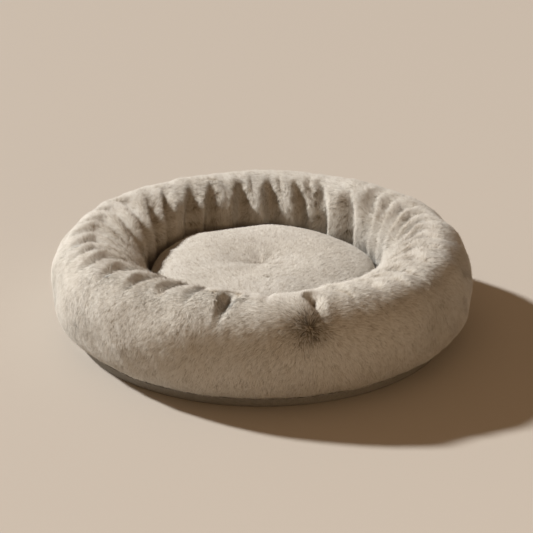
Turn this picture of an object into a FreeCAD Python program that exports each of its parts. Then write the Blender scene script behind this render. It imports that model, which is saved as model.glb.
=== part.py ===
"""Round plush pet bed: a stuffed ring on a flat fabric base, with a loose round cushion in it.

Millimetres.  The origin is on the floor under the middle of the bed, +Z is up and -Y is the front.
Every piece is a body of revolution about Z, apart from the sewn-in label at the back.
"""
import FreeCAD
import Part
import math
import os

# Ring, measured over its plush.
RING_OUTER_RADIUS = 300.0
RING_CREST_RADIUS = 240.0
RING_INNER_RADIUS = 164.0
RING_CREST_HEIGHT = 142.0
RING_WIDEST_HEIGHT = 73.0
RING_TOP_FULLNESS = 2.1
RING_FOOT_FULLNESS = 2.6
RING_WALL_FULLNESS = 5.0
PLUSH_THICKNESS = 3.0
COVER_INNER_EDGE_RADIUS = 190.0
COVER_OUTER_EDGE_RADIUS = 262.0
COVER_EDGE_HEIGHT = 10.5
RING_FOOT_CLEARANCE = 0.1

# Layers under the ring and the cushion, from the floor up.
BASE_FABRIC_THICKNESS = 1.2
WADDING_THICKNESS = 6.0
LINING_THICKNESS = 1.0
LAYER_RADIUS = 264.0
BAND_HEIGHT = 12.0
BAND_FOOT_RADIUS = 266.0
BAND_TOP_RADIUS = 271.5

# Loose cushion.
CUSHION_RADIUS = 162.0
CUSHION_SEAM_HEIGHT = 66.0
CUSHION_CROWN_HEIGHT = 99.0
CUSHION_TUFT_HEIGHT = 88.0
CUSHION_TUFT_WIDTH = 42.0
CUSHION_TOP_FULLNESS = 2.3
CUSHION_FOOT_FULLNESS = 3.4
CUSHION_PLUSH_THICKNESS = 2.5
CUSHION_UNDERSIDE_THICKNESS = 1.2
CUSHION_CLEARANCE = 0.4

# Sewing threads and label.
SEAM_THREAD_RADIUS = 0.6
GATHER_THREAD_RADIUS = 1.0
TUFT_TIE_RADIUS = 0.9
TUFT_KNOT_RADIUS = 3.0
TUFT_KNOT_HEIGHT = 2.0
TUFT_KNOT_CLEARANCE = 0.3
LABEL_WIDTH = 26.0
LABEL_LENGTH = 20.0
LABEL_THICKNESS = 0.5
LABEL_SLOPE_DEG = 30.0
LABEL_TOP_HEIGHT = 12.2

LINING_TOP = BASE_FABRIC_THICKNESS + WADDING_THICKNESS + LINING_THICKNESS
OUTLINE_STEPS_PER_QUARTER = 6
AXIS_FOOT = FreeCAD.Vector(0, 0, 0)
AXIS_UP = FreeCAD.Vector(0, 0, 1)


def point(radius, height):
    """A point of the section, which lies in the XZ plane."""
    return FreeCAD.Vector(radius, 0, height)


def rounded_quarter(centre, half_width, half_height, fullness, start_deg, end_deg):
    """Points of one quarter of a rounded outline; a fullness of 2 is an ellipse, more is boxier."""
    points = []
    for step in range(OUTLINE_STEPS_PER_QUARTER + 1):
        angle = math.radians(start_deg + (end_deg - start_deg) * step / OUTLINE_STEPS_PER_QUARTER)
        cosine = round(math.cos(angle), 12)
        sine = round(math.sin(angle), 12)
        across = math.copysign(abs(cosine) ** (2 / fullness), cosine)
        up = math.copysign(abs(sine) ** (2 / fullness), sine)
        points.append(point(centre[0] + half_width * across, centre[1] + half_height * up))
    return points


def smooth_edge(points):
    """One smooth edge through the points."""
    curve = Part.BSplineCurve()
    curve.interpolate(Points=points)
    return curve.toShape()


def revolve(edges):
    """The solid made by turning a closed outline about the bed's axis."""
    face = Part.Face(Part.Wire(edges))
    return face.revolve(AXIS_FOOT, AXIS_UP, 360)


def polygon_edges(points):
    """Straight edges that close the outline through the points."""
    edges = []
    for index, start in enumerate(points):
        edges.append(Part.makeLine(start, points[(index + 1) % len(points)]))
    return edges


def ring_body(inset):
    """The stuffed ring, drawn in by the inset on every side except its flat foot."""
    centre = (RING_CREST_RADIUS, RING_WIDEST_HEIGHT)
    outer_half = RING_OUTER_RADIUS - RING_CREST_RADIUS - inset
    inner_half = RING_CREST_RADIUS - RING_INNER_RADIUS - inset
    top_half = RING_CREST_HEIGHT - RING_WIDEST_HEIGHT - inset
    foot_half = RING_WIDEST_HEIGHT - LINING_TOP - RING_FOOT_CLEARANCE
    quarters = [
        rounded_quarter(centre, outer_half, foot_half, RING_FOOT_FULLNESS, -90, 0),
        rounded_quarter(centre, outer_half, top_half, RING_TOP_FULLNESS, 0, 90),
        rounded_quarter(centre, inner_half, top_half, RING_TOP_FULLNESS, 90, 180),
        rounded_quarter(centre, inner_half, foot_half, RING_WALL_FULLNESS, 180, 270),
    ]
    return revolve([smooth_edge(points) for points in quarters])


def disc(radius, bottom, thickness):
    """A flat round layer."""
    return Part.makeCylinder(radius, thickness, FreeCAD.Vector(0, 0, bottom), AXIS_UP)


def thread_ring(path_radius, height, thread_radius):
    """A thread that runs once round the bed."""
    return Part.makeTorus(path_radius, thread_radius, FreeCAD.Vector(0, 0, height), AXIS_UP)


def base_cover():
    """Grey fabric that covers the underside and is turned up round the edge as a low band."""
    inner_foot = BAND_FOOT_RADIUS - BASE_FABRIC_THICKNESS
    inner_top = BAND_TOP_RADIUS - BASE_FABRIC_THICKNESS
    outline = [
        point(0, 0),
        point(BAND_FOOT_RADIUS, 0),
        point(BAND_TOP_RADIUS, BAND_HEIGHT),
        point(inner_top, BAND_HEIGHT),
        point(inner_foot, BASE_FABRIC_THICKNESS),
        point(0, BASE_FABRIC_THICKNESS),
    ]
    return revolve(polygon_edges(outline))


def cushion_top_edge(inset):
    """Upper outline of the cushion, from its seam over the crown and down into the tuft."""
    shoulder_radius = CUSHION_TUFT_WIDTH * 2
    crown = CUSHION_CROWN_HEIGHT - inset
    centre = (shoulder_radius, CUSHION_SEAM_HEIGHT)
    half_width = CUSHION_RADIUS - inset - shoulder_radius
    points = rounded_quarter(centre, half_width, crown - centre[1], CUSHION_TOP_FULLNESS, 0, 90)
    tuft = CUSHION_TUFT_HEIGHT - inset
    for share in (0.5, 0.25):
        depth = (crown - tuft) * (1 + math.cos(math.pi * share * 2)) / 2
        points.append(point(shoulder_radius * share, crown - depth * (1 - share)))
    points.append(point(0, tuft))
    return smooth_edge(points)


def cushion_bottom_edge(inset):
    """Lower outline of the cushion, from the middle of its foot out to its seam."""
    bottom = LINING_TOP + CUSHION_CLEARANCE + inset
    radius = CUSHION_RADIUS - inset
    centre = (0, CUSHION_SEAM_HEIGHT)
    depth = CUSHION_SEAM_HEIGHT - bottom
    return smooth_edge(rounded_quarter(centre, radius, depth, CUSHION_FOOT_FULLNESS, -90, 0))


def cushion_upper_body(inset):
    """Everything of the cushion above the level of its seam."""
    axis_foot = point(0, CUSHION_SEAM_HEIGHT)
    edges = [cushion_top_edge(inset)]
    edges.append(Part.makeLine(point(0, CUSHION_TUFT_HEIGHT - inset), axis_foot))
    edges.append(Part.makeLine(axis_foot, point(CUSHION_RADIUS - inset, CUSHION_SEAM_HEIGHT)))
    return revolve(edges)


def cushion_lower_body(inset):
    """Everything of the cushion below the level of its seam."""
    axis_top = point(0, CUSHION_SEAM_HEIGHT)
    bottom = LINING_TOP + CUSHION_CLEARANCE + inset
    edges = [cushion_bottom_edge(inset)]
    edges.append(Part.makeLine(point(CUSHION_RADIUS - inset, CUSHION_SEAM_HEIGHT), axis_top))
    edges.append(Part.makeLine(axis_top, point(0, bottom)))
    return revolve(edges)


def tuft_tie():
    """Thread through the middle of the cushion, with a flat knot inside each panel."""
    underside_top = LINING_TOP + CUSHION_CLEARANCE + CUSHION_UNDERSIDE_THICKNESS
    bottom = underside_top + TUFT_KNOT_CLEARANCE
    top = CUSHION_TUFT_HEIGHT - CUSHION_PLUSH_THICKNESS - TUFT_KNOT_HEIGHT
    tie = disc(TUFT_TIE_RADIUS, bottom, top - bottom)
    lower_knot = disc(TUFT_KNOT_RADIUS, bottom, TUFT_KNOT_HEIGHT)
    upper_knot = disc(TUFT_KNOT_RADIUS, top - TUFT_KNOT_HEIGHT, TUFT_KNOT_HEIGHT)
    return tie.fuse([lower_knot, upper_knot]).removeSplitter()


def base_label():
    """Blank sewn-in label at the back, hanging out and down from the base seam."""
    label = Part.makeBox(LABEL_WIDTH, LABEL_LENGTH, LABEL_THICKNESS)
    label.translate(FreeCAD.Vector(-LABEL_WIDTH / 2, 0, 0))
    label.rotate(AXIS_FOOT, FreeCAD.Vector(1, 0, 0), -LABEL_SLOPE_DEG)
    label.translate(FreeCAD.Vector(0, BAND_TOP_RADIUS + 2 * SEAM_THREAD_RADIUS, LABEL_TOP_HEIGHT))
    return label


def foot_opening():
    """The underside of the ring between the cover's two edges, where the lining closes it."""
    opening = disc(COVER_OUTER_EDGE_RADIUS, 0, COVER_EDGE_HEIGHT)
    return opening.cut(disc(COVER_INNER_EDGE_RADIUS, 0, COVER_EDGE_HEIGHT))


def ring_pieces():
    """Plush cover, filling, threads and label of the ring."""
    seam_radius = BAND_TOP_RADIUS - BASE_FABRIC_THICKNESS / 2
    seam_thread = thread_ring(seam_radius, BAND_HEIGHT + SEAM_THREAD_RADIUS, SEAM_THREAD_RADIUS)
    gather_height = LINING_TOP + GATHER_THREAD_RADIUS
    gather_thread = thread_ring(COVER_INNER_EDGE_RADIUS, gather_height, GATHER_THREAD_RADIUS)
    filling = ring_body(PLUSH_THICKNESS)
    cover = ring_body(0).cut(filling).cut(foot_opening())
    return {
        "ring_cover": cover.cut(seam_thread).cut(gather_thread),
        "ring_filling": filling.cut(gather_thread),
        "ring_gather_thread": gather_thread,
        "base_seam_thread": seam_thread,
        "base_label": base_label(),
    }


def base_pieces():
    """The three flat layers under the ring and the cushion."""
    wadding_top = BASE_FABRIC_THICKNESS + WADDING_THICKNESS
    return {
        "base_cover": base_cover(),
        "base_wadding": disc(LAYER_RADIUS, BASE_FABRIC_THICKNESS, WADDING_THICKNESS),
        "ring_floor_lining": disc(LAYER_RADIUS, wadding_top, LINING_THICKNESS),
    }


def cushion_pieces():
    """Two panels, filling, edge seam and centre tie of the loose cushion."""
    seam_radius = CUSHION_RADIUS - CUSHION_UNDERSIDE_THICKNESS / 2
    seam_thread = thread_ring(seam_radius, CUSHION_SEAM_HEIGHT, SEAM_THREAD_RADIUS)
    tie = tuft_tie()
    inner_top = cushion_upper_body(CUSHION_PLUSH_THICKNESS)
    inner_bottom = cushion_lower_body(CUSHION_UNDERSIDE_THICKNESS)
    filling = inner_top.fuse(inner_bottom).cut(tie).cut(seam_thread)
    return {
        "cushion_top_panel": cushion_upper_body(0).cut(inner_top).cut(seam_thread),
        "cushion_underside_panel": cushion_lower_body(0).cut(inner_bottom).cut(seam_thread),
        "cushion_filling": filling,
        "cushion_seam_thread": seam_thread,
        "cushion_tuft_tie": tie,
    }


def main():
    os.makedirs("parts", exist_ok=True)
    pieces = {}
    pieces.update(base_pieces())
    pieces.update(ring_pieces())
    pieces.update(cushion_pieces())
    for name, shape in pieces.items():
        shape.exportStep(os.path.join("parts", name + ".step"))
        print(name, shape.isValid(), len(shape.Solids), round(shape.Volume / 1000, 2), "cm3")


main()
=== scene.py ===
"""Looks of a round plush pet bed: gathered ring, loose cushion, fabric base and plush pile."""
import math

import bpy
import numpy as np
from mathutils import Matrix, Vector


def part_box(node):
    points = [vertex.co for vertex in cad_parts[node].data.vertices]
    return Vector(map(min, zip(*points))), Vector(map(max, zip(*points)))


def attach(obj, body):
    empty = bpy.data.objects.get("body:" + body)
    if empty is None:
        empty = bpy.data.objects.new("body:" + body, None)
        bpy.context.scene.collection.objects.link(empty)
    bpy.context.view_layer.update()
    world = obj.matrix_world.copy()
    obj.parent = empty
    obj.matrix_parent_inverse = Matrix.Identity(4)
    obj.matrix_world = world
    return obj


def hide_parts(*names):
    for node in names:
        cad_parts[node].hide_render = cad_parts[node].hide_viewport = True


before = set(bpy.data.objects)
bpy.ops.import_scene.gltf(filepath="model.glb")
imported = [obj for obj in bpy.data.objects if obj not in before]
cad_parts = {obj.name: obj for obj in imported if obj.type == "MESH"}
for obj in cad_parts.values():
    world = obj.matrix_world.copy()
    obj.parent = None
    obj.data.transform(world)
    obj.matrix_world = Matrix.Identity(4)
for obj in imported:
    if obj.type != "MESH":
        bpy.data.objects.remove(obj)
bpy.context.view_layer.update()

bl_info = {
    "name": "Plush Pet Bed",
    "version": (1, 0, 0),
    "blender": (4, 5, 0),
    "location": "View3D > Sidebar > Pet Bed",
    "description": "Builds a round plush pet bed around its packed frame",
    "category": "Add Mesh",
}

MM = 0.001
FULL_TURN = 2 * math.pi

RING_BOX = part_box("ring_cover")
CUSHION_TOP_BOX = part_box("cushion_top_panel")
CUSHION_FOOT_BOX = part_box("cushion_underside_panel")
BASE_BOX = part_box("base_cover")
LINING_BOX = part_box("ring_floor_lining")
LABEL_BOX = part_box("base_label")

# Section of the ring, as the frame's ring is drawn.
RING_OUTER = RING_BOX[1][0]
RING_TOP = RING_BOX[1][2]
RING_CREST_RADIUS = 0.8 * RING_OUTER
RING_INNER = CUSHION_TOP_BOX[1][0] + 2 * MM
RING_WIDEST = 73 * MM
FLOOR_OF_RING = LINING_BOX[1][2]
TOP_FULLNESS = 2.1
FOOT_FULLNESS = 2.6
WALL_FULLNESS = 5.0

# Gathered folds: where each starts on the crest (degrees, anticlockwise from the right), how deep it
# is (mm), how far beyond the crest it starts (mm, negative reaches over the outside), which side of it
# is the steep one, and how wide the other side is (mm).
FOLDS = (
    (141, 10, 2, 1, 26), (132, 9, -8, 1, 22), (120, 12, 0, 1, 28), (111, 10, 2, 1, 24),
    (98.5, 12, 4, 1, 28), (94, 3, -10, 1, 10), (87, 12, 3, 1, 26), (83, 3, -10, 1, 10),
    (76, 11, 8, 1, 24), (71, 4, -8, -1, 12), (66, 12, 0, -1, 28), (53, 12, 12, -1, 28),
    (41, 9, -20, -1, 26), (33, 6, -22, -1, 20), (25, 8, -28, -1, 24), (17, 6, -26, -1, 20),
    (9, 8, -28, -1, 22), (1, 6, -24, -1, 20), (-7, 8, -24, -1, 22), (-16, 6, -22, -1, 22),
    (-27, 7, -26, -1, 22), (-37, 6, -28, -1, 19), (-45, 7, -32, -1, 19), (-54, 7, -34, -1, 18),
    (-64, 6, -34, 1, 16), (-88, 5, -14, 1, 20), (-112, 8, -28, 1, 18), (-122, 10, -22, 1, 20),
    (-132, 11, -34, 1, 21), (-143, 10, -38, 1, 23), (-153, 11, -44, 1, 24), (-162, 9, -50, 1, 23),
    (-171, 11, -44, 1, 24), (180, 10, -50, 1, 24), (171, 11, -40, 1, 24), (161, 10, -36, 1, 24),
    (151, 11, -26, 1, 25),
)
# Deeper dents over the front of the rim, which also end: the last value is how far beyond the crest.
DENTS = ((-75, 15, -54, 1, 15, 12), (-101, 12, -58, 1, 15, 28))
# Folds no wider than this (mm) have no raised lip beside them.
NARROW_FOLD = 20
# How far the folds have leaned sideways at the foot of the inner wall.
FOLD_LEAN = math.radians(22)
# Part of the inner wall's length over which the folds lean.
LEANING_PART = 0.42
# Middle of the ruffled whorl in the pile at the front (m), whose core is darkened with painted shade.
WHORL = (0.0612, -0.2807, 0.1174)
# One tuft in this many casts a shadow, as pile is thin enough to let light through.
OUTER_SHARE = 4
# Where the two ends of the base's band overlap, as an angle round the bed.
BAND_JOIN = math.radians(236)
PILE_STRETCHES = 6
RING_CLUMP = 3.3 * MM
CUSHION_CLUMP = 3.2 * MM
RING_TUFT_WIDTH = 0.85 * MM
CUSHION_TUFT_WIDTH = 0.8 * MM
# Part of the light on the pile that comes through it.
PILE_THROUGH = 0.12

CUSHION_FOOT_FULLNESS = 3.4
CUSHION_TOP_FULLNESS = 3.6
# Steps in each half of the cushion's outline, which meet at the seam.
CUSHION_STEPS = 900
# How much less than the ring's the cushion's backing is set in.
CUSHION_INSET_LESS = 1 * MM

CLOTH_THICKNESS = 1.0 * MM
PLUSH_THICKNESS = 1.6 * MM
LABEL_THICKNESS = 0.3 * MM

FIBRE_COLOR = (0.86, 0.86, 0.84)
WADDING_COLOR = (0.84, 0.84, 0.82)
LABEL_COLOR = (0.62, 0.60, 0.55)
CREAM_THREAD_COLOR = (0.62, 0.55, 0.45)
GREY_THREAD_COLOR = (0.26, 0.25, 0.23)

KEY_DIRECTION = (-1.338, 0.729, 1)
KEY_ENERGY = 4.6
WORLD_FILL_COLOR = (1.0, 0.64, 0.37, 1)
WORLD_FILL_STRENGTH = 0.225
FRONT_FILL_COLOR = (1.0, 0.70, 0.42)
FRONT_FILL_ENERGY = 15.5
FRONT_FILL_PLACE = (1.2, -3.4, 0.8)
CAMERA_PLACE = (0.0058, -1.9745, 0.9153)
CAMERA_PITCH = 22.85
CAMERA_LENS = 101.3


def random(seed):
    """A repeatable source of random numbers."""
    return np.random.default_rng(seed)


def wander(points, size, seed, waves=7):
    """Smooth noise from about -1 to 1 at the points, with features of about the given size."""
    source = random(seed)
    directions = source.normal(size=(waves, 3))
    directions /= np.linalg.norm(directions, axis=1)[:, None]
    lengths = size * source.uniform(0.7, 1.6, waves)
    phases = source.uniform(0, FULL_TURN, waves)
    total = np.zeros(points.shape[:-1])
    for direction, length, phase in zip(directions, lengths, phases):
        total += np.sin(points @ direction * (FULL_TURN / length) + phase)
    return total / math.sqrt(waves)


def ease(value):
    """Smooth step from 0 to 1 as the value goes from 0 to 1."""
    value = np.clip(value, 0, 1)
    return value * value * (3 - 2 * value)


def unit(vectors):
    """The vectors at length 1."""
    return vectors / np.maximum(np.linalg.norm(vectors, axis=-1, keepdims=True), 1e-12)


def round_the_bed(radius, turn, height):
    """Points at a radius, an angle round the bed and a height."""
    return np.stack([radius * np.cos(turn), radius * np.sin(turn), height], -1)


def boxed_quarter(angle, half_width, half_height, fullness):
    """Across and up of a rounded outline at an angle; a fullness of 2 is an ellipse."""
    cosine = np.cos(angle)
    sine = np.sin(angle)
    across = half_width * np.sign(cosine) * np.abs(cosine) ** (2 / fullness)
    up = half_height * np.sign(sine) * np.abs(sine) ** (2 / fullness)
    return across, up


class Section:
    """An open outline in radius and height, walked evenly along its length."""

    def __init__(self, radius, height):
        steps = np.hypot(np.diff(radius), np.diff(height))
        self.walked = np.concatenate([[0], np.cumsum(steps)])
        self.radius = radius
        self.height = height
        self.length = self.walked[-1]

    def at(self, walked):
        """Radius and height after walking that far."""
        radius = np.interp(walked, self.walked, self.radius)
        height = np.interp(walked, self.walked, self.height)
        return radius, height

    def outward(self, walked, reach=1.5 * MM):
        """Outward direction in radius and height."""
        before = self.at(walked - reach)
        after = self.at(walked + reach)
        along = unit(np.stack([after[0] - before[0], after[1] - before[1]], -1))
        return along[..., 1], -along[..., 0]


def ring_section(inset):
    """The ring's outline from the middle of its foot, up the outside, over and down the inside."""
    angle = np.radians(np.linspace(-90, 270, 2881))
    outside = np.cos(angle) >= 0
    upper = np.sin(angle) >= 0
    half_width = np.where(outside, RING_OUTER - RING_CREST_RADIUS, RING_CREST_RADIUS - RING_INNER)
    half_height = np.where(upper, RING_TOP - RING_WIDEST, RING_WIDEST - FLOOR_OF_RING)
    lower_fullness = np.where(outside, FOOT_FULLNESS, WALL_FULLNESS)
    fullness = np.where(upper, TOP_FULLNESS, lower_fullness)
    across, up = boxed_quarter(angle, half_width - inset, half_height - inset, fullness)
    return Section(RING_CREST_RADIUS + across, RING_WIDEST + up)


def inner_wall(section):
    """Where on the ring's outline its crest is, and over what length beyond it the folds lean."""
    crest_walk = section.walked[np.argmax(section.height)]
    return crest_walk, LEANING_PART * (section.length - crest_walk)


def fold_depth(turn, beyond_crest, radius, inner_length):
    """How far the gathered folds draw the cover in at each point."""
    down = ease(beyond_crest / inner_length)
    depth = np.zeros(np.broadcast(turn, beyond_crest).shape)
    raised = np.zeros(depth.shape)
    for degrees, deep, start, sharp, soft, *end in FOLDS + DENTS:
        crest_turn = math.radians(degrees)
        fold_turn = crest_turn - FOLD_LEAN * math.cos(crest_turn) * down
        across = (turn - fold_turn + math.pi) % FULL_TURN - math.pi
        across = across * radius * sharp
        grown = ease((beyond_crest - start * MM) / ((48 - 0.3 * start) * MM))
        spread = 0.25 + 0.27 * grown
        if end:
            grown = grown * ease((end[0] * MM - beyond_crest) / (18 * MM))
            spread = 0.6 + 0.6 * grown
        steep = 1 - ease(across / (soft * spread * MM))
        gentle = 1 - ease(-across / (soft * (0.3 + 0.7 * grown) * MM))
        depth = np.maximum(depth, deep * MM * grown * steep * gentle)
        if soft > NARROW_FOLD:
            lip = np.exp(-(((across / MM - 0.5 * soft) / (0.28 * soft)) ** 2))
            raised = np.maximum(raised, 0.13 * deep * MM * grown * lip)
    return depth - raised


def ring_points(turn, share, inset):
    """Points of the gathered ring: turn is the angle round the bed, share the way along its section."""
    section = ring_section(inset)
    walked = share * section.length
    radius, height = section.at(walked)
    out_radius, out_height = section.outward(walked)
    crest_walk, inner_length = inner_wall(section)
    beyond_crest = walked - crest_walk
    turn, radius, height = np.broadcast_arrays(turn, radius, height)
    plain = round_the_bed(radius, turn, height)
    soft = ease((height - FLOOR_OF_RING) / (25 * MM))
    move = -fold_depth(turn, beyond_crest, radius, inner_length)
    move = move + 1.6 * MM * wander(plain, 95 * MM, 11) * soft
    move = move + 0.7 * MM * wander(plain, 32 * MM, 12) * soft
    radius = radius + out_radius * move
    height = height + out_height * move
    height = np.maximum(height, FLOOR_OF_RING + 0.3 * MM)
    return round_the_bed(radius, turn, height)


def partings(inset):
    """Places in the deeper folds where the pile parts: centre, reach, strength, core and darkness of
    its painted shade.
    """
    section = ring_section(inset)
    crest_walk, inner_length = inner_wall(section)
    found = []
    for index, (degrees, deep, start, sharp, soft) in enumerate(FOLDS):
        if deep < 10 or not 50 < degrees < 145:
            continue
        crest_turn = math.radians(degrees)
        for beyond, reach in ((0.42, 13), (0.62, 10), (0.86, 9)):
            walked = inner_length * (beyond + 0.05 * math.sin(3.0 * index))
            lean = FOLD_LEAN * math.cos(crest_turn) * float(ease(walked / inner_length))
            turn = crest_turn - lean - sharp * 0.62 * soft * MM / RING_CREST_RADIUS
            share = (crest_walk + walked) / section.length
            place = ring_points(np.array([turn]), np.array([share]), inset)[0]
            # The last value darkens the parting's core with painted shade.
            found.append((tuple(place), reach * MM, 0.8, 0.4 * reach * MM, 0.1))
    return tuple(found)


def cushion_section(inset):
    """The cushion's outline from the middle of its underside, out to its seam and in over the top."""
    seam = CUSHION_TOP_BOX[0][2]
    radius = CUSHION_TOP_BOX[1][0] - inset
    foot_angle = np.radians(np.linspace(-90, 0, CUSHION_STEPS + 1))
    foot_depth = seam - CUSHION_FOOT_BOX[0][2] - inset
    foot_across, foot_up = boxed_quarter(foot_angle, radius, foot_depth, CUSHION_FOOT_FULLNESS)
    top_angle = np.radians(np.linspace(0, 90, CUSHION_STEPS + 1))[1:]
    top_height = CUSHION_TOP_BOX[1][2] - seam - inset
    top_across, top_up = boxed_quarter(top_angle, radius, top_height, CUSHION_TOP_FULLNESS)
    across = np.concatenate([foot_across, top_across])
    up = np.concatenate([foot_up, top_up])
    return Section(across, seam + up)


def cushion_points(turn, share, inset):
    """Points of the loose cushion, with its tuft, soft creases and uneven filling."""
    section = cushion_section(inset)
    walked = share * section.length
    radius, height = section.at(walked)
    out_radius, out_height = section.outward(walked)
    turn, radius, height = np.broadcast_arrays(turn, radius, height)
    plain = round_the_bed(radius, turn, height)
    top = ease((height - CUSHION_TOP_BOX[0][2]) / (20 * MM))
    near = np.exp(-((radius / (17 * MM)) ** 2))
    wide = np.exp(-((radius / (52 * MM)) ** 2))
    creases = np.cos(3 * turn + 0.6) + 0.7 * np.cos(5 * turn + 2.1) + 0.5 * np.cos(8 * turn + 4.0)
    crease_reach = radius / (22 * MM) * np.exp(1 - radius / (22 * MM))
    move = -top * (3.0 * MM * near + 5.0 * MM * wide + 0.45 * MM * creases * crease_reach)
    move = move + top * 1.6 * MM * wander(plain, 120 * MM, 21)
    move = move + 0.35 * MM * wander(plain, 45 * MM, 22)
    seam_pull = np.exp(-(((height - CUSHION_TOP_BOX[0][2]) / (4 * MM)) ** 2))
    puckers = 0.5 + 0.5 * np.sin(46 * turn + 2 * np.sin(5 * turn))
    move = move - seam_pull * (2.2 + 0.8 * puckers) * MM
    radius = np.maximum(radius + out_radius * move, 0)
    height = height + out_height * move
    return round_the_bed(radius, turn, height)


def label_points(grid):
    """A ribbon label from a flat square grid: doubled over, with its two ends in the band's seam."""
    low, high = LABEL_BOX
    way = (grid[:, 1] + 0.5) * 2
    out = 1 - np.abs(way - 1) ** 1.6
    lower = np.where(way > 1, 1.0, -1.0) * (1 - out) ** 0.3
    middle = (low[0] + high[0]) / 2
    across = middle + grid[:, 0] * (high[0] - low[0])
    reach = low[1] - 1.5 * MM + out * (high[1] - low[1] + 0.5 * MM)
    drop = (high[2] - low[2] - 2 * MM) * out ** 1.35
    curl = 0.7 * MM * out * np.sin(7.0 * grid[:, 0] + 0.6) + 0.5 * MM * out * grid[:, 0]
    level = high[2] - 1.2 * MM - drop - lower * 0.42 * MM + curl
    return np.stack([across, reach + 0.4 * MM * np.cos(9 * grid[:, 0]), level], -1)


def deselect():
    """Nothing is selected and no object is active."""
    bpy.ops.object.select_all(action="DESELECT")
    bpy.context.view_layer.objects.active = None


def take(piece):
    """Makes a piece the only selected and active one."""
    deselect()
    piece.select_set(True)
    bpy.context.view_layer.objects.active = piece


def finish_piece(piece, name, body, material, angle=60):
    """Names a piece, sets its place in its mesh, shades it and gives it its body, slot and finish."""
    piece.name = name
    piece.data.name = name
    take(piece)
    bpy.ops.object.transform_apply(location=True, rotation=True, scale=True)
    bpy.ops.object.shade_smooth_by_angle(angle=math.radians(angle))
    piece.data.materials.clear()
    piece.data.materials.append(material)
    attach(piece, body)
    return piece


def apply_modifier(piece, kind, **settings):
    """Adds a modifier with its settings and applies it."""
    take(piece)
    modifier = piece.modifiers.new(kind.title(), kind)
    for name, value in settings.items():
        setattr(modifier, name, value)
    bpy.ops.object.modifier_apply(modifier=modifier.name)


def mesh_points(piece):
    """The piece's vertices as an array."""
    points = np.empty(len(piece.data.vertices) * 3)
    piece.data.vertices.foreach_get("co", points)
    return points.reshape(-1, 3)


def set_mesh_points(piece, points):
    """Moves the piece's vertices."""
    piece.data.vertices.foreach_set("co", np.ascontiguousarray(points, dtype=np.float32).ravel())
    piece.data.update()


def facing_out(piece):
    """Above zero where the piece's faces mostly face away from its middle."""
    count = len(piece.data.polygons)
    centres = np.empty(count * 3)
    normals = np.empty(count * 3)
    areas = np.empty(count)
    piece.data.polygons.foreach_get("center", centres)
    piece.data.polygons.foreach_get("normal", normals)
    piece.data.polygons.foreach_get("area", areas)
    centres = centres.reshape(-1, 3)
    away = centres - mesh_points(piece).mean(0)
    return ((away * normals.reshape(-1, 3)).sum(-1) * areas).sum()


def wrap_grid(around, along, surface, first, last):
    """A grid laid round the bed on to the surface, joined where its edges meet."""
    deselect()
    bpy.ops.mesh.primitive_grid_add(x_subdivisions=around, y_subdivisions=along, size=1)
    piece = bpy.context.object
    grid = mesh_points(piece) + 0.5
    turn = np.round(grid[:, 0] * around) % around * (FULL_TURN / around)
    share = first + grid[:, 1] * (last - first)
    set_mesh_points(piece, surface(turn, share))
    take(piece)
    bpy.ops.object.mode_set(mode="EDIT")
    bpy.ops.mesh.select_all(action="SELECT")
    bpy.ops.mesh.remove_doubles(threshold=0.02 * MM)
    bpy.ops.mesh.normals_make_consistent(inside=False)
    bpy.ops.object.mode_set(mode="OBJECT")
    if facing_out(piece) < 0:
        bpy.ops.object.mode_set(mode="EDIT")
        bpy.ops.mesh.flip_normals()
        bpy.ops.object.mode_set(mode="OBJECT")
    return piece


# Finishes ---------------------------------------------------------------------------------------


def new_material(name):
    """A fresh node material and its shader."""
    material = bpy.data.materials.new(name)
    material.use_nodes = True
    return material, material.node_tree, material.node_tree.nodes["Principled BSDF"]


def node(tree, kind, inputs=None, **settings):
    """Adds a node with its settings and plain input values."""
    made = tree.nodes.new(kind)
    for name, value in settings.items():
        setattr(made, name, value)
    for key, value in (inputs or {}).items():
        made.inputs[key].default_value = value
    return made


def color_ramp(tree, stops):
    """A colour ramp through (place, colour) stops."""
    ramp = node(tree, "ShaderNodeValToRGB")
    elements = ramp.color_ramp.elements
    while len(elements) < len(stops):
        elements.new(0.5)
    for element, (place, color) in zip(elements, stops):
        element.position = place
        element.color = (*color, 1)
    return ramp


def shade(color, factor):
    """The colour made lighter or darker."""
    return tuple(min(1.0, channel * factor) for channel in color[:3])


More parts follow.
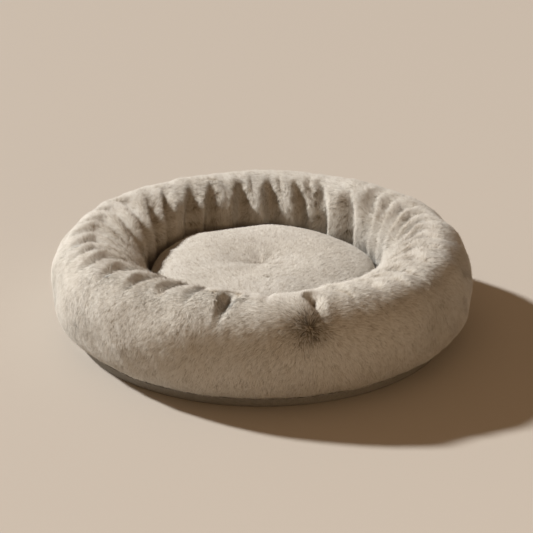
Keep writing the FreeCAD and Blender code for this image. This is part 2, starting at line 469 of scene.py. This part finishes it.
def pile_material(name, tip, root):
    """Pile of the plush: pale at its tips, darkened towards its roots with painted shade between the
    tufts, and a little different from tuft to tuft.
    """
    material, tree, shader = new_material(name)
    tone = node(tree, "ShaderNodeAttribute", attribute_name="pile_tone")
    middle = tuple((a + b) / 2 for a, b in zip(tip, root))
    # The two lowest stops are painted shade: deep brown for the shade between the tufts, deeper still
    # in the whorl's core.
    ramp = color_ramp(
        tree, ((0.0, shade(root, 0.22)), (0.25, shade(root, 0.8)), (0.5, middle), (1.0, tip))
    )
    place = node(tree, "ShaderNodeTexCoord")
    patches = node(tree, "ShaderNodeTexNoise", {"Scale": 14.0, "Detail": 3.0, "Roughness": 0.6})
    tint = node(tree, "ShaderNodeMix", data_type="RGBA", blend_type="MULTIPLY")
    tint.inputs["Factor"].default_value = 1.0
    faded = color_ramp(tree, ((0.3, (0.94, 0.93, 0.91)), (0.7, (1.0, 1.0, 1.0))))
    cloth = node(tree, "ShaderNodeAttribute", attribute_name="cloth_normal")
    tree.links.new(cloth.outputs["Vector"], shader.inputs["Normal"])
    material.cycles.use_bump_map_correction = False
    tree.links.new(tone.outputs["Fac"], ramp.inputs["Fac"])
    tree.links.new(place.outputs["Object"], patches.inputs["Vector"])
    tree.links.new(patches.outputs["Fac"], faded.inputs["Fac"])
    tree.links.new(ramp.outputs["Color"], tint.inputs["A"])
    tree.links.new(faded.outputs["Color"], tint.inputs["B"])
    tree.links.new(tint.outputs["Result"], shader.inputs["Base Color"])
    shader.inputs["Roughness"].default_value = 0.92
    shader.inputs["Specular IOR Level"].default_value = 0.15
    shader.inputs["Sheen Weight"].default_value = 0.12
    through = node(tree, "ShaderNodeBsdfTranslucent")
    both = node(tree, "ShaderNodeMixShader", {0: PILE_THROUGH})
    tree.links.new(tint.outputs["Result"], through.inputs["Color"])
    tree.links.new(cloth.outputs["Vector"], through.inputs["Normal"])
    tree.links.new(shader.outputs[0], both.inputs[1])
    tree.links.new(through.outputs[0], both.inputs[2])
    tree.links.new(both.outputs[0], tree.nodes["Material Output"].inputs["Surface"])
    return material


def backing_material(name, color):
    """The plush's backing under its pile: knitted, and speckled with the roots."""
    material, tree, shader = new_material(name)
    place = node(tree, "ShaderNodeTexCoord")
    speckle = node(tree, "ShaderNodeTexNoise", {"Scale": 420.0, "Detail": 2.0})
    ramp = color_ramp(tree, ((0.35, shade(color, 0.75)), (0.65, shade(color, 1.1))))
    bump = node(tree, "ShaderNodeBump", {"Strength": 0.5, "Distance": 0.6 * MM})
    tree.links.new(place.outputs["Object"], speckle.inputs["Vector"])
    tree.links.new(speckle.outputs["Fac"], ramp.inputs["Fac"])
    tree.links.new(ramp.outputs["Color"], shader.inputs["Base Color"])
    tree.links.new(speckle.outputs["Fac"], bump.inputs["Height"])
    tree.links.new(bump.outputs["Normal"], shader.inputs["Normal"])
    shader.inputs["Roughness"].default_value = 0.95
    shader.inputs["Specular IOR Level"].default_value = 0.1
    return material


def woven_material(name, color, thread=1.1 * MM, contrast=0.25, strength=0.5):
    """Plain woven cloth: two sets of crossing threads, slubs and slow fading."""
    material, tree, shader = new_material(name)
    place = node(tree, "ShaderNodeTexCoord")
    heights = []
    for axis in ("X", "Y", "Z"):
        wave = node(tree, "ShaderNodeTexWave", {"Scale": 1 / (thread * 6.5), "Distortion": 0.6})
        wave.bands_direction = axis
        wave.inputs["Detail Scale"].default_value = 3.0
        tree.links.new(place.outputs["Object"], wave.inputs["Vector"])
        heights.append(wave.outputs["Fac"])
    crossed = node(tree, "ShaderNodeMath", operation="MULTIPLY")
    weave = node(tree, "ShaderNodeMath", operation="ADD")
    slubs = node(tree, "ShaderNodeTexNoise", {"Scale": 180.0, "Detail": 4.0})
    fading = node(tree, "ShaderNodeTexNoise", {"Scale": 9.0, "Detail": 2.0})
    mixed = node(tree, "ShaderNodeMath", operation="MULTIPLY_ADD")
    mixed.inputs[1].default_value = 0.55
    ramp = color_ramp(tree, ((0.2, shade(color, 1 - contrast)), (0.9, shade(color, 1 + contrast))))
    faded = color_ramp(tree, ((0.3, (0.88, 0.88, 0.88)), (0.7, (1.0, 1.0, 1.0))))
    tint = node(tree, "ShaderNodeMix", data_type="RGBA", blend_type="MULTIPLY")
    tint.inputs["Factor"].default_value = 1.0
    bump = node(tree, "ShaderNodeBump", {"Strength": strength, "Distance": 0.4 * MM})
    tree.links.new(heights[0], crossed.inputs[0])
    tree.links.new(heights[1], crossed.inputs[1])
    tree.links.new(crossed.outputs[0], weave.inputs[0])
    tree.links.new(heights[2], weave.inputs[1])
    tree.links.new(place.outputs["Object"], slubs.inputs["Vector"])
    tree.links.new(place.outputs["Object"], fading.inputs["Vector"])
    tree.links.new(weave.outputs[0], mixed.inputs[0])
    tree.links.new(slubs.outputs["Fac"], mixed.inputs[2])
    tree.links.new(mixed.outputs[0], ramp.inputs["Fac"])
    tree.links.new(fading.outputs["Fac"], faded.inputs["Fac"])
    tree.links.new(ramp.outputs["Color"], tint.inputs["A"])
    tree.links.new(faded.outputs["Color"], tint.inputs["B"])
    tree.links.new(tint.outputs["Result"], shader.inputs["Base Color"])
    tree.links.new(mixed.outputs[0], bump.inputs["Height"])
    tree.links.new(bump.outputs["Normal"], shader.inputs["Normal"])
    shader.inputs["Roughness"].default_value = 0.88
    shader.inputs["Specular IOR Level"].default_value = 0.2
    return material


def fibre_material(name, color):
    """Loose fibre filling or wadding: cloudy, with fine strands."""
    material, tree, shader = new_material(name)
    place = node(tree, "ShaderNodeTexCoord")
    clouds = node(tree, "ShaderNodeTexNoise", {"Scale": 60.0, "Detail": 8.0, "Distortion": 1.5})
    ramp = color_ramp(tree, ((0.3, shade(color, 0.82)), (0.7, shade(color, 1.0))))
    bump = node(tree, "ShaderNodeBump", {"Strength": 0.7, "Distance": 1.5 * MM})
    tree.links.new(place.outputs["Object"], clouds.inputs["Vector"])
    tree.links.new(clouds.outputs["Fac"], ramp.inputs["Fac"])
    tree.links.new(ramp.outputs["Color"], shader.inputs["Base Color"])
    tree.links.new(clouds.outputs["Fac"], bump.inputs["Height"])
    tree.links.new(bump.outputs["Normal"], shader.inputs["Normal"])
    shader.inputs["Roughness"].default_value = 0.95
    return material


def thread_material(name, color):
    """Twisted sewing thread."""
    material, tree, shader = new_material(name)
    place = node(tree, "ShaderNodeTexCoord")
    twist = node(tree, "ShaderNodeTexWave", {"Scale": 260.0, "Distortion": 1.0})
    twist.bands_direction = "DIAGONAL"
    ramp = color_ramp(tree, ((0.1, shade(color, 0.7)), (0.8, shade(color, 1.1))))
    tree.links.new(place.outputs["Object"], twist.inputs["Vector"])
    tree.links.new(twist.outputs["Fac"], ramp.inputs["Fac"])
    tree.links.new(ramp.outputs["Color"], shader.inputs["Base Color"])
    shader.inputs["Roughness"].default_value = 0.7
    return material


def floor_material(color):
    """Plain pale floor."""
    material, tree, shader = new_material("stage_floor")
    shader.inputs["Base Color"].default_value = (*color[:3], 1)
    shader.inputs["Roughness"].default_value = 0.75
    shader.inputs["Specular IOR Level"].default_value = 0.25
    return material


# Pile -------------------------------------------------------------------------------------------


class Fabric:
    """A fine grid over a surface of turn and share, from which pile roots are drawn."""

    def __init__(self, surface, around, along, first, last):
        self.around = around
        self.along = along
        turn = np.arange(around + 1)[:, None] * (FULL_TURN / around)
        share = np.linspace(first, last, along + 1)[None, :]
        self.points = surface(turn, share)
        self.points[-1] = self.points[0]
        by_turn = (np.roll(self.points[:-1], -1, 0) - np.roll(self.points[:-1], 1, 0)) / 2
        self.by_turn = np.concatenate([by_turn, by_turn[:1]])
        self.by_share = np.gradient(self.points, axis=1)
        self.normals = unit(np.cross(self.by_turn, self.by_share))
        edge_turn = self.points[1:, :-1] - self.points[:-1, :-1]
        edge_share = self.points[:-1, 1:] - self.points[:-1, :-1]
        self.areas = np.linalg.norm(np.cross(edge_turn, edge_share), axis=-1)
        self.area = self.areas.sum()

    def draw(self, count, source):
        """Random roots: their points, normals and the direction of growing share."""
        sums = np.cumsum(self.areas.ravel())
        picks = np.searchsorted(sums, source.uniform(0, sums[-1], count))
        picks = np.minimum(picks, sums.size - 1)
        column, row = np.divmod(picks, self.along)
        across = source.uniform(size=count)[:, None]
        up = source.uniform(size=count)[:, None]

        def blended(grid):
            low = grid[column, row] * (1 - across) + grid[column + 1, row] * across
            high = grid[column, row + 1] * (1 - across) + grid[column + 1, row + 1] * across
            return low * (1 - up) + high * up

        return (
            blended(self.points),
            unit(blended(self.normals)),
            unit(blended(self.by_share)),
        )


def clump_pull(points, normals, size, seed):
    """For each root: the tangent move to its tuft's middle, and a random value of that tuft."""
    drift = np.stack([wander(points, size * 5, seed + k) for k in range(3)], -1)
    cells = points / size + drift * 0.9
    corner = np.floor(cells).astype(np.int64)
    best = np.full(len(points), np.inf)
    pull = np.zeros_like(points)
    value = np.zeros(len(points))
    for offset in np.ndindex(2, 2, 2):
        near = corner + np.where(cells - corner < 0.5, -1, 1) * np.array(offset)
        mixed = (near[:, 0] * 73856093) ^ (near[:, 1] * 19349663) ^ (near[:, 2] * 83492791)
        mixed = (mixed ^ (mixed >> 13)) * 1274126177
        jitter = np.stack([((mixed >> shift) & 1023) / 1023 for shift in (3, 11, 17)], -1)
        centre = near + 0.15 + 0.7 * jitter
        gap = (centre - cells) * size
        gap = gap - (gap * normals).sum(-1, keepdims=True) * normals * 0.8
        far = (gap * gap).sum(-1)
        closer = far < best
        best = np.where(closer, far, best)
        pull[closer] = gap[closer]
        value[closer] = (((mixed >> 7) & 1023) / 1023)[closer]
    pull -= (pull * normals).sum(-1, keepdims=True) * normals
    return pull, value


def comb(points, normals, along, whorls, seed, turns_over):
    """Direction in which the pile lies, and from 0 to 1 how far it stands up and how ruffled it is;
    both also set painted shade deep in the pile.
    """
    nap = -along
    if turns_over:
        outwards = unit(points * np.array([1.0, 1.0, 0.0]))
        facing = (normals * outwards).sum(-1)
        over = (math.pi * ease((0.30 - facing) / 0.85))[:, None]
        side = np.tanh((points[:, :1] + 90 * MM) / (40 * MM))
        nap = nap * np.cos(over) + np.cross(along, normals) * side * np.sin(over)
    sway = np.stack([wander(points, 70 * MM, seed + k) for k in range(3)], -1)
    small_sway = np.stack([wander(points, 22 * MM, seed + 5 + k) for k in range(3)], -1)
    flow = nap + 0.34 * sway + 0.22 * small_sway
    upright_and_shade = np.zeros(len(points))
    ruffle_and_shade = np.zeros(len(points))
    for centre, reach, strength, core, dark in whorls:
        away = points - np.array(centre)
        gap = np.linalg.norm(away, axis=-1)
        pull = strength * np.exp(-((gap / reach) ** 1.6))
        flow += unit(away) * pull[:, None]
        # The darkness lifts the tufts and darkens the core with painted shade.
        upright_and_shade = np.maximum(upright_and_shade, dark * np.exp(-((gap / core) ** 2)))
        ruffle_and_shade = np.maximum(ruffle_and_shade, np.exp(-((gap / (3.2 * core)) ** 2)))
    if turns_over:
        rubbed = ease(-points[:, 1] / (240 * MM)) * ease(0.5 + facing)
        ruffle_and_shade = np.maximum(ruffle_and_shade, 0.55 * rubbed)
    flow -= (flow * normals).sum(-1, keepdims=True) * normals
    return unit(flow), upright_and_shade, ruffle_and_shade


def tuft_mesh(name, roots, tips, sides, normals, tones, width):
    """One mesh of slim three-cornered tufts, shaded like the cloth that they stand on."""
    count = len(roots)
    half = sides * (width / 2)
    corners = np.stack([roots - half, roots + half, tips], 1)
    facing = np.cross(corners[:, 1] - corners[:, 0], corners[:, 2] - corners[:, 0])
    wrong = (facing * normals).sum(-1) < 0
    corners[wrong, 0], corners[wrong, 1] = corners[wrong, 1], corners[wrong, 0].copy()
    mesh = bpy.data.meshes.new(name)
    mesh.vertices.add(3 * count)
    mesh.vertices.foreach_set("co", corners.astype(np.float32).ravel())
    mesh.loops.add(3 * count)
    mesh.loops.foreach_set("vertex_index", np.arange(3 * count, dtype=np.int32))
    mesh.polygons.add(count)
    mesh.polygons.foreach_set("loop_start", np.arange(0, 3 * count, 3, dtype=np.int32))
    mesh.update(calc_edges=True)
    tone = mesh.attributes.new("pile_tone", "FLOAT", "POINT")
    tone.data.foreach_set("value", tones.astype(np.float32).ravel())
    cloth = np.repeat(normals, 3, 0).astype(np.float32)
    cloth_normal = mesh.attributes.new("cloth_normal", "FLOAT_VECTOR", "POINT")
    cloth_normal.data.foreach_set("vector", cloth.ravel())
    cells = int(math.ceil(math.sqrt(count)))
    cell_row, cell_column = np.divmod(np.arange(count), cells)
    corner_places = np.array([[0.15, 0.15], [0.85, 0.15], [0.5, 0.85]])
    places = (np.stack([cell_column, cell_row], -1)[:, None, :] + corner_places) / cells
    layer = mesh.uv_layers.new(name="OFBake")
    layer.data.foreach_set("uv", places.astype(np.float32).ravel())
    mesh.shade_smooth()
    mesh.normals_split_custom_set_from_vertices(cloth.tolist())
    return mesh


def grow_pile(fabric, count, length, clump, whorls, seed, lay=(9, 20), turns_over=False):
    """Roots, tips, sides, shading normals and tones of pile all over a fabric."""
    source = random(seed)
    roots, normals, along = fabric.draw(count, source)
    flow, upright_and_shade, ruffle_and_shade = comb(roots, normals, along, whorls, seed + 20, turns_over)
    pull, tuft = clump_pull(roots, normals, clump, seed + 40)
    scatter = source.normal(0, 0.22, (count, 3))
    flow = unit(flow + scatter - (scatter * normals).sum(-1, keepdims=True) * normals)
    hem = 1 - ease((roots[:, 2] - 12 * MM) / (12 * MM)) if turns_over else 0
    lift = np.radians(source.uniform(*lay, count) + 34 * upright_and_shade + 8 * (tuft - 0.5) + 28 * hem)
    reach = length * source.uniform(0.75, 1.15, count) * (0.9 + 0.2 * tuft)
    direction = flow * np.cos(lift)[:, None] + normals * np.sin(lift)[:, None]
    tips = roots + direction * reach[:, None] + pull * 0.62
    direction = unit(tips - roots)
    sides = unit(np.cross(direction, normals))
    strand = source.normal(0, 0.15 + 0.22 * ruffle_and_shade, count)
    # Painted shade: the root tone darkens the roots as if shaded deep in the pile, and the whorl's and
    # partings' cores and ruffled pile darken further; tuft and strand values differ at random.
    root_shade_tone = np.clip(0.16 + 0.2 * (tuft - 0.5) - 0.35 * upright_and_shade, 0, 1)
    tip_tone = np.clip(0.86 + 0.32 * (tuft - 0.5) + strand - 0.10 * ruffle_and_shade - 0.52 * upright_and_shade, 0, 1)
    tones = np.stack([root_shade_tone, root_shade_tone, tip_tone], -1)
    tilt = source.normal(0, 0.10, (count, 3)) - 0.32 * pull / clump
    return roots, tips, sides, unit(normals + tilt), tones


def add_pile(context, name, grown, chosen, width, material, body, shades):
    """Adds the chosen part of some grown pile as a piece, which casts a shadow only if it shades."""
    mesh = tuft_mesh(name, *(part[chosen] for part in grown), width)
    mesh.materials.append(material)
    piece = bpy.data.objects.new(name, mesh)
    context.scene.collection.objects.link(piece)
    piece.visible_shadow = shades
    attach(piece, body)


# Sizes and colours that a user would change ------------------------------------------------------


class PetBedSizes(bpy.types.PropertyGroup):
    """Sizes of the soft parts"""

    ring_pile: bpy.props.FloatProperty(
        name="Ring pile",
        description="Length of the pile on the ring",
        default=9 * MM,
        min=2 * MM,
        max=20 * MM,
        subtype="DISTANCE",
        unit="LENGTH",
    )
    cushion_pile: bpy.props.FloatProperty(
        name="Cushion pile",
        description="Length of the pile on the cushion",
        default=6 * MM,
        min=2 * MM,
        max=20 * MM,
        subtype="DISTANCE",
        unit="LENGTH",
    )
    plush_inset: bpy.props.FloatProperty(
        name="Plush inset",
        description="Depth of the plush's backing under the outer size of the bed",
        default=4 * MM,
        min=1 * MM,
        max=8 * MM,
        subtype="DISTANCE",
        unit="LENGTH",
    )
    ring_tufts: bpy.props.IntProperty(
        name="Ring tufts",
        description="Number of tufts of pile on the ring",
        default=1080000,
        min=12000,
    )
    cushion_tufts: bpy.props.IntProperty(
        name="Cushion tufts",
        description="Number of tufts of pile on the cushion",
        default=190000,
        min=5000,
    )


class PetBedColors(bpy.types.PropertyGroup):
    """Colours of the cloths"""

    pile_tip: bpy.props.FloatVectorProperty(
        name="Pile tips",
        description="Colour of the ends of the pile",
        subtype="COLOR",
        size=3,
        min=0,
        max=1,
        default=(0.80, 0.79, 0.755),
    )
    # Painted shade: this root colour stands in for the shade deep between the tufts.
    pile_root_shade: bpy.props.FloatVectorProperty(
        name="Pile roots",
        description="Colour of the pile where it leaves the backing",
        subtype="COLOR",
        size=3,
        min=0,
        max=1,
        default=(0.47, 0.41, 0.33),
    )
    base_fabric: bpy.props.FloatVectorProperty(
        name="Base fabric",
        description="Colour of the band and the underside",
        subtype="COLOR",
        size=3,
        min=0,
        max=1,
        default=(0.205, 0.195, 0.175),
    )
    lining: bpy.props.FloatVectorProperty(
        name="Lining",
        description="Colour of the lining and of the cushion's underside",
        subtype="COLOR",
        size=3,
        min=0,
        max=1,
        default=(0.62, 0.57, 0.49),
    )
    floor: bpy.props.FloatVectorProperty(
        name="Floor",
        description="Colour of the plain floor",
        subtype="COLOR",
        size=3,
        min=0,
        max=1,
        default=(0.575, 0.53, 0.472),
    )


def sizes(context):
    """The bed's sizes."""
    return context.scene.pet_bed_sizes


def colors(context):
    """The bed's colours."""
    return context.scene.pet_bed_colors


def tufts(count):
    return count


# Operators --------------------------------------------------------------------------------------


class PETBED_OT_ring(bpy.types.Operator):
    """Add the ring's gathered cover and its filling"""

    bl_idname = "petbed.ring"
    bl_label = "Ring"

    def execute(self, context):
        inset = sizes(context).plush_inset
        root = tuple(colors(context).pile_root_shade)
        cover = wrap_grid(720, 130, lambda turn, share: ring_points(turn, share, inset), 0, 1)
        # The backing takes the painted-shade root colour, a little lighter, so it shows as shade
        # between the tufts.
        finish_piece(cover, "ring_plush_cover", "ring",
                     backing_material("ring_backing", shade(root, 1.25)))
        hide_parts("ring_cover")
        deep = inset + 6 * MM
        filling = wrap_grid(240, 60, lambda turn, share: ring_points(turn, share, deep), 0, 1)
        finish_piece(filling, "ring_fibre_filling", "ring",
                     fibre_material("fibre_filling", FIBRE_COLOR))
        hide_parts("ring_filling")
        return {"FINISHED"}


class PETBED_OT_cushion(bpy.types.Operator):
    """Add the loose cushion's two panels, filling and edge seam"""

    bl_idname = "petbed.cushion"
    bl_label = "Cushion"

    def execute(self, context):
        inset = sizes(context).plush_inset - CUSHION_INSET_LESS
        root = tuple(colors(context).pile_root_shade)
        lining = tuple(colors(context).lining)
        section = cushion_section(inset)
        seam = float(section.walked[CUSHION_STEPS] / section.length)

        def surface(turn, share):
            return cushion_points(turn, share, inset)

        top = wrap_grid(240, 80, surface, seam, 1.0)
        apply_modifier(top, "SOLIDIFY", thickness=PLUSH_THICKNESS, offset=-1)
        # The backing takes the painted-shade root colour, a little lighter, so it shows as shade
        # between the tufts.
        finish_piece(top, "cushion_plush_top", "cushion",
                     backing_material("cushion_backing", shade(root, 1.25)))
        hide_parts("cushion_top_panel")
        under = wrap_grid(240, 80, surface, 0.0, seam)
        apply_modifier(under, "SOLIDIFY", thickness=CLOTH_THICKNESS, offset=-1)
        finish_piece(under, "cushion_underside", "cushion",
                     woven_material("cushion_underside_cloth", lining))
        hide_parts("cushion_underside_panel")
        deep = inset + 4 * MM
        filling = wrap_grid(120, 90, lambda turn, share: cushion_points(turn, share, deep), 0, 1)
        finish_piece(filling, "cushion_fibre_filling", "cushion",
                     fibre_material("cushion_filling_fibre", FIBRE_COLOR))
        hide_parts("cushion_filling")
        return {"FINISHED"}


class PETBED_OT_base(bpy.types.Operator):
    """Add the base fabric with its turned-up band"""

    bl_idname = "petbed.base"
    bl_label = "Base"

    def execute(self, context):
        color = tuple(colors(context).base_fabric)
        height = BASE_BOX[1][2]
        foot = BASE_BOX[1][0] - 5 * MM

        def surface(turn, share):
            rise = np.clip((share - 0.35) / 0.65, 0, 1)
            out = np.clip(share / 0.35, 0, 1)
            rim = np.stack([np.cos(turn), np.sin(turn), 0 * turn], -1)
            pucker = wander(rim, 0.11, 31) * 0.6 + wander(rim, 0.04, 32) * 0.35
            beside = (turn - BAND_JOIN + math.pi) % FULL_TURN - math.pi
            pucker = pucker + 1.1 * ease(beside / 0.006) * (1 - ease(beside / 0.12))
            radius = foot * out ** 0.7 + 5.2 * MM * rise ** 0.8 + pucker * MM * ease(share * 2 - 0.6)
            level = (height + 1.2 * MM) * rise ** 1.25 + 0.4 * MM * (1 - out)
            return round_the_bed(radius, turn, level)

        base = wrap_grid(1440, 14, surface, 0, 1)
        apply_modifier(base, "SOLIDIFY", thickness=CLOTH_THICKNESS, offset=-1)
        finish_piece(base, "base_fabric_cover", "ring",
                     woven_material("base_cloth", color, contrast=0.3))
        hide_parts("base_cover")
        return {"FINISHED"}


class PETBED_OT_trims(bpy.types.Operator):
    """Finish the threads, wadding and lining, and add the sewn-in label"""

    bl_idname = "petbed.trims"
    bl_label = "Threads, lining and label"

    def execute(self, context):
        lining = tuple(colors(context).lining)
        cream = thread_material("cream_thread", CREAM_THREAD_COLOR)
        grey = thread_material("grey_thread", GREY_THREAD_COLOR)
        finishes = {
            "ring_gather_thread": cream,
            "cushion_seam_thread": cream,
            "cushion_tuft_tie": cream,
            "base_seam_thread": grey,
            "ring_floor_lining": woven_material("lining_cloth", lining),
            "base_wadding": fibre_material("base_wadding_fibre", WADDING_COLOR),
        }
        for name, material in finishes.items():
            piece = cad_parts[name]
            for place in piece.material_slots:
                place.material = material
        deselect()
        bpy.ops.mesh.primitive_grid_add(x_subdivisions=40, y_subdivisions=80, size=1)
        label = context.object
        set_mesh_points(label, label_points(mesh_points(label)))
        apply_modifier(label, "SOLIDIFY", thickness=LABEL_THICKNESS, offset=0)
        finish_piece(label, "folded_label", "ring",
                     woven_material("label_cloth", LABEL_COLOR, thread=0.5 * MM, contrast=0.12))
        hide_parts("base_label")
        return {"FINISHED"}


class PETBED_OT_ring_pile(bpy.types.Operator):
    """Grow the ring's pile, in six stretches round the bed"""

    bl_idname = "petbed.ring_pile"
    bl_label = "Ring pile"

    def execute(self, context):
        size = sizes(context)
        color = colors(context)
        inset = size.plush_inset
        fabric = Fabric(lambda turn, share: ring_points(turn, share, inset), 900, 260, 0.085, 0.93)
        # The whorl's last value darkens its core with painted shade.
        whorls = ((WHORL, 95 * MM, 3.2, 19 * MM, 0.95),) + partings(inset)
        grown = grow_pile(fabric, tufts(size.ring_tufts), size.ring_pile, RING_CLUMP, whorls, 100,
                          turns_over=True)
        material = pile_material("ring_pile", tuple(color.pile_tip), tuple(color.pile_root_shade))
        turn = np.arctan2(grown[0][:, 1], grown[0][:, 0]) % FULL_TURN
        stretch = (turn / FULL_TURN * PILE_STRETCHES).astype(int)
        outer = np.arange(len(turn)) % OUTER_SHARE == 0
        for index in range(PILE_STRETCHES):
            for kind, chosen in (("outer", outer), ("under", ~outer)):
                add_pile(context, f"ring_pile_{kind}_{index + 1}", grown, (stretch == index) & chosen,
                         RING_TUFT_WIDTH, material, "ring", kind == "outer")
        return {"FINISHED"}


class PETBED_OT_cushion_pile(bpy.types.Operator):
    """Grow the cushion's pile"""

    bl_idname = "petbed.cushion_pile"
    bl_label = "Cushion pile"

    def execute(self, context):
        size = sizes(context)
        color = colors(context)
        inset = size.plush_inset - CUSHION_INSET_LESS
        section = cushion_section(inset)
        seam = float(section.walked[CUSHION_STEPS] / section.length) - 0.01
        fabric = Fabric(lambda turn, share: cushion_points(turn, share, inset), 480, 160, seam, 0.998)
        whorls = (((-0.06, -0.5, 0.09), 900 * MM, 2.2, 1 * MM, 0.0),)
        grown = grow_pile(fabric, tufts(size.cushion_tufts), size.cushion_pile, CUSHION_CLUMP,
                          whorls, 300, lay=(9, 19))
        material = pile_material("cushion_pile", tuple(color.pile_tip), tuple(color.pile_root_shade))
        outer = np.arange(len(grown[0])) % OUTER_SHARE == 0
        for kind, chosen in (("outer", outer), ("under", ~outer)):
            add_pile(context, f"cushion_pile_{kind}", grown, chosen,
                     CUSHION_TUFT_WIDTH, material, "cushion", kind == "outer")
        return {"FINISHED"}


class PETBED_OT_stage(bpy.types.Operator):
    """Add the floor, the lights and the camera"""

    bl_idname = "petbed.stage"
    bl_label = "Floor, lights and camera"

    def execute(self, context):
        scene = context.scene
        deselect()
        bpy.ops.mesh.primitive_plane_add(size=40, location=(0, 0, -0.2 * MM))
        floor = context.object
        floor.name = "stage_floor"
        floor.data.materials.append(floor_material(tuple(colors(context).floor)))
        bpy.ops.object.light_add(type="SUN")
        key = context.object
        key.name = "key_light"
        key.data.energy = KEY_ENERGY
        key.data.angle = math.radians(4)
        key.data.color = (1.0, 0.985, 0.96)
        key.rotation_euler = Vector(KEY_DIRECTION).to_track_quat("Z", "Y").to_euler()
        world = bpy.data.worlds.new("soft_fill")
        world.use_nodes = True
        fill = world.node_tree.nodes["Background"]
        fill.inputs["Color"].default_value = WORLD_FILL_COLOR
        fill.inputs["Strength"].default_value = WORLD_FILL_STRENGTH
        scene.world = world
        bpy.ops.object.light_add(
            type="AREA", location=FRONT_FILL_PLACE, rotation=(math.radians(78), 0, math.radians(19))
        )
        front = context.object
        front.name = "front_fill_light"
        front.data.shape = "RECTANGLE"
        front.data.size = 3.2
        front.data.size_y = 0.7
        front.visible_camera = False
        front.data.energy = FRONT_FILL_ENERGY
        front.data.color = FRONT_FILL_COLOR
        bpy.ops.object.camera_add(
            location=CAMERA_PLACE, rotation=(math.radians(90 - CAMERA_PITCH), 0, 0)
        )
        camera = context.object
        camera.name = "camera"
        camera.data.sensor_width = 36
        camera.data.lens = CAMERA_LENS
        scene.camera = camera
        scene.view_settings.view_transform = "Standard"
        return {"FINISHED"}


class PETBED_PT_panel(bpy.types.Panel):
    """Lists the bed's pieces and what can be changed"""

    bl_idname = "PETBED_PT_panel"
    bl_label = "Plush Pet Bed"
    bl_space_type = "VIEW_3D"
    bl_region_type = "UI"
    bl_category = "Pet Bed"

    def draw(self, context):
        layout = self.layout
        for group in (sizes(context), colors(context)):
            box = layout.box()
            for name in group.__annotations__:
                box.prop(group, name)
        column = layout.column()
        for operator in OPERATORS:
            column.operator(operator.bl_idname)


OPERATORS = (
    PETBED_OT_ring,
    PETBED_OT_cushion,
    PETBED_OT_base,
    PETBED_OT_trims,
    PETBED_OT_ring_pile,
    PETBED_OT_cushion_pile,
    PETBED_OT_stage,
)
CLASSES = (PetBedSizes, PetBedColors) + OPERATORS + (PETBED_PT_panel,)


def register():
    """Registers the add-on."""
    for each in CLASSES:
        bpy.utils.register_class(each)
    bpy.types.Scene.pet_bed_sizes = bpy.props.PointerProperty(type=PetBedSizes)
    bpy.types.Scene.pet_bed_colors = bpy.props.PointerProperty(type=PetBedColors)


def unregister():
    """Removes the add-on."""
    del bpy.types.Scene.pet_bed_colors
    del bpy.types.Scene.pet_bed_sizes
    for each in reversed(CLASSES):
        bpy.utils.unregister_class(each)


def main():
    """Builds the whole bed."""
    register()
    bpy.ops.petbed.ring()
    bpy.ops.petbed.cushion()
    bpy.ops.petbed.base()
    bpy.ops.petbed.trims()
    bpy.ops.petbed.ring_pile()
    bpy.ops.petbed.cushion_pile()
    bpy.ops.petbed.stage()


if __name__ == "__main__":
    main()
